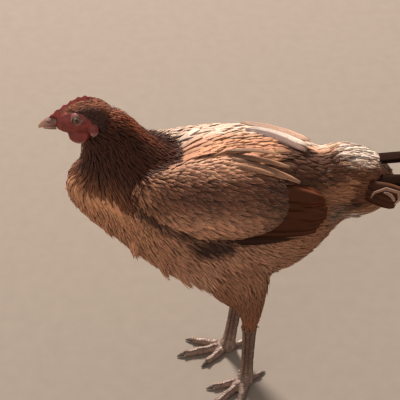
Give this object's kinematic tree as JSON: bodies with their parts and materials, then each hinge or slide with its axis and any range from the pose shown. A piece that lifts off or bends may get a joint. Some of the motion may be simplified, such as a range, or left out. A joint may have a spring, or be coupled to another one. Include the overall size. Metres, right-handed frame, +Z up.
{
  "type": "brown hen, still museum model",
  "caption": "Life-size still model of a young brown hen standing at rest, with folded wings, a level tail, a small single comb and bare scaled shanks.",
  "frame": {"origin": "middle of the bird's bounding box, on the floor it stands on", "axes": "+Z up; the bird faces -Y, its tail points to +Y and its left side is +X"},
  "size_m": [0.1521, 0.3894, 0.3498],
  "materials": {
    "feather_tan": "soft matte feather, warm buff brown",
    "feather_mahogany": "sleek dark mahogany feather with a faint gloss",
    "feather_wing": "smooth brown vane feather with buff edges",
    "feather_black": "smooth brown-black tail feather",
    "red_skin": "bare, finely pebbled red skin",
    "beak_horn": "satin pinkish brown horn",
    "claw_horn": "satin dark horn",
    "leg_scale": "scaled skin, slate brown",
    "eye": "wet amber-brown eye"
  },
  "bodies": {
    "root": {"beak_lower": "beak_horn", "beak_upper": "beak_horn", "claw_hind_left": "claw_horn", "claw_hind_right": "claw_horn", "claw_inner_left": "claw_horn", "claw_inner_right": "claw_horn", "claw_middle_left": "claw_horn", "claw_middle_right": "claw_horn", "claw_outer_left": "claw_horn", "claw_outer_right": "claw_horn", "comb": "red_skin", "drumstick_left": "feather_tan", "drumstick_right": "feather_tan", "earlobe_left": "red_skin", "earlobe_right": "red_skin", "eye_left": "eye", "eye_right": "eye", "head": "feather_mahogany", "neck": "feather_mahogany", "shank_left": "leg_scale", "shank_right": "leg_scale", "tail_coverts": "feather_tan", "tail_feathers_left": "feather_black", "tail_feathers_right": "feather_black", "toe_hind_left": "leg_scale", "toe_hind_right": "leg_scale", "toe_inner_left": "leg_scale", "toe_inner_right": "leg_scale", "toe_middle_left": "leg_scale", "toe_middle_right": "leg_scale", "toe_outer_left": "leg_scale", "toe_outer_right": "leg_scale", "trunk": "feather_tan", "wattle_left": "red_skin", "wattle_right": "red_skin", "wing_coverts_left": "feather_wing", "wing_coverts_right": "feather_wing", "wing_flights_left": "feather_wing", "wing_flights_right": "feather_wing"}
  },
  "joints": []
}
